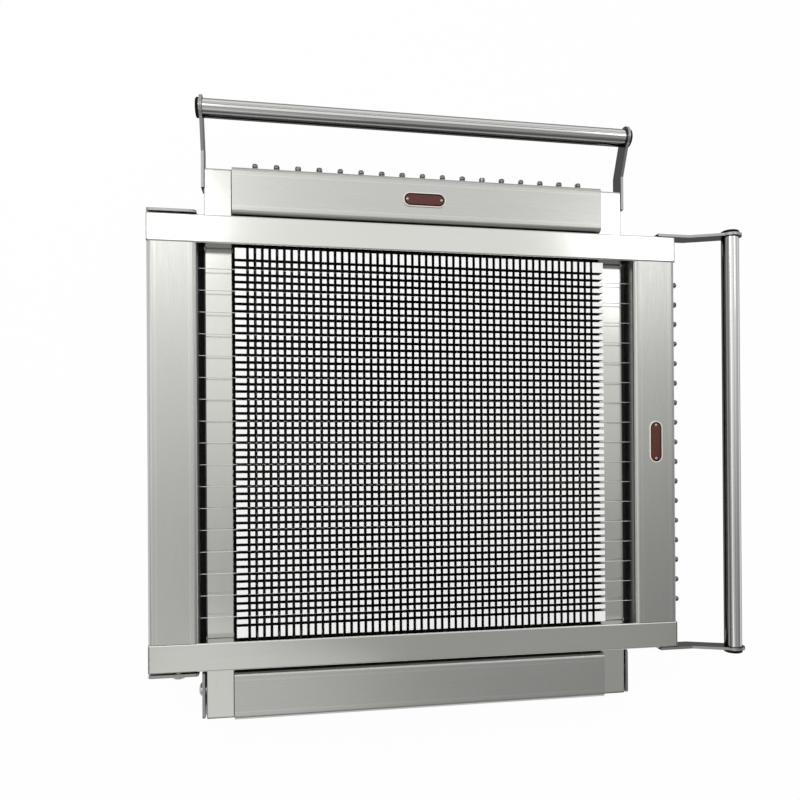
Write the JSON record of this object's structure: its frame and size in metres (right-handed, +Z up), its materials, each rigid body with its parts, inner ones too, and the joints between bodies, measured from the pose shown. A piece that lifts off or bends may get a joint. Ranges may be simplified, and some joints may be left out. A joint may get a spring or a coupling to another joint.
{
  "type": "chocolate guitar cutter",
  "caption": "Tabletop cutter for ganache and praline slabs: a slotted square bed and two hinged wire-strung frames that close over it at right angles.",
  "frame": {"origin": "middle of the plan's bounding box, on the plane of the feet's undersides", "axes": "+Z up; +X towards the upper arm's handle (right in the picture), +Y towards the lower arm's handle (up in the picture)"},
  "size_m": [0.6514, 0.6464, 0.1212],
  "materials": {
    "bed_plastic": "smooth matt white polyethylene",
    "rail_steel": "stainless, brushed along each rail",
    "sheet_steel": "stainless sheet, brushed",
    "pan_paint": "black, matt powder coat",
    "bar_steel": "stainless flat bar, brushed, darker",
    "tube_steel": "polished stainless tube",
    "fastener_steel": "polished stainless",
    "wire_steel": "drawn stainless wire",
    "ferrule_brass": "plain",
    "riser_aluminium": "sawn bar",
    "bush_plastic": "natural nylon",
    "rubber": "moulded, matt",
    "plug_plastic": "black, satin",
    "enamel": "dark red-brown enamel, glossy"
  },
  "bodies": {
    "base": {"base_pan": "pan_paint", "bed_block": "bed_plastic", "bed_bolts": "fastener_steel", "bed_risers": "riser_aluminium", "rubber_feet": "rubber", "upper_arm_stop_posts": "sheet_steel", "upper_arm_stop_pads": "rubber", "lower_arm_rests": "rubber", "upper_hinge_bracket": "sheet_steel", "upper_hinge_bolt": "fastener_steel", "upper_open_stops": "rubber", "lower_hinge_bracket": "sheet_steel", "lower_hinge_bolt": "fastener_steel", "lower_open_stops": "rubber"},
    "upper_arm": {"upper_side_rail_left": "rail_steel", "upper_side_rail_right": "rail_steel", "upper_hinge_rail": "rail_steel", "upper_handle_rail": "rail_steel", "upper_cutting_wires": "wire_steel", "upper_wire_ferrules": "ferrule_brass", "upper_tension_pegs": "fastener_steel", "upper_hinge_bushes": "bush_plastic", "upper_handle_bar_left": "bar_steel", "upper_handle_bar_right": "bar_steel", "upper_handle_tube": "tube_steel", "upper_tube_plugs": "plug_plastic", "upper_enamel_plate": "enamel", "upper_plate_rivets": "fastener_steel"},
    "lower_arm": {"lower_side_rail_left": "rail_steel", "lower_side_rail_right": "rail_steel", "lower_hinge_rail": "rail_steel", "lower_handle_rail": "rail_steel", "lower_cutting_wires": "wire_steel", "lower_wire_ferrules": "ferrule_brass", "lower_tension_pegs": "fastener_steel", "lower_hinge_bushes": "bush_plastic", "lower_handle_bar_left": "bar_steel", "lower_handle_bar_right": "bar_steel", "lower_handle_tube": "tube_steel", "lower_tube_plugs": "plug_plastic", "lower_enamel_plate": "enamel", "lower_plate_rivets": "fastener_steel"}
  },
  "joints": [
    {"name": "upper_arm_hinge", "type": "hinge", "parent": "base", "child": "upper_arm", "pos_m": [-0.29675, -0.03575, 0.09267], "axis": [0, -1, 0], "range_deg": [0, 100]},
    {"name": "lower_arm_hinge", "type": "hinge", "parent": "base", "child": "lower_arm", "pos_m": [-0.03825, -0.29425, 0.07317], "axis": [1, 0, 0], "range_deg": [0, 0.15]}
  ]
}
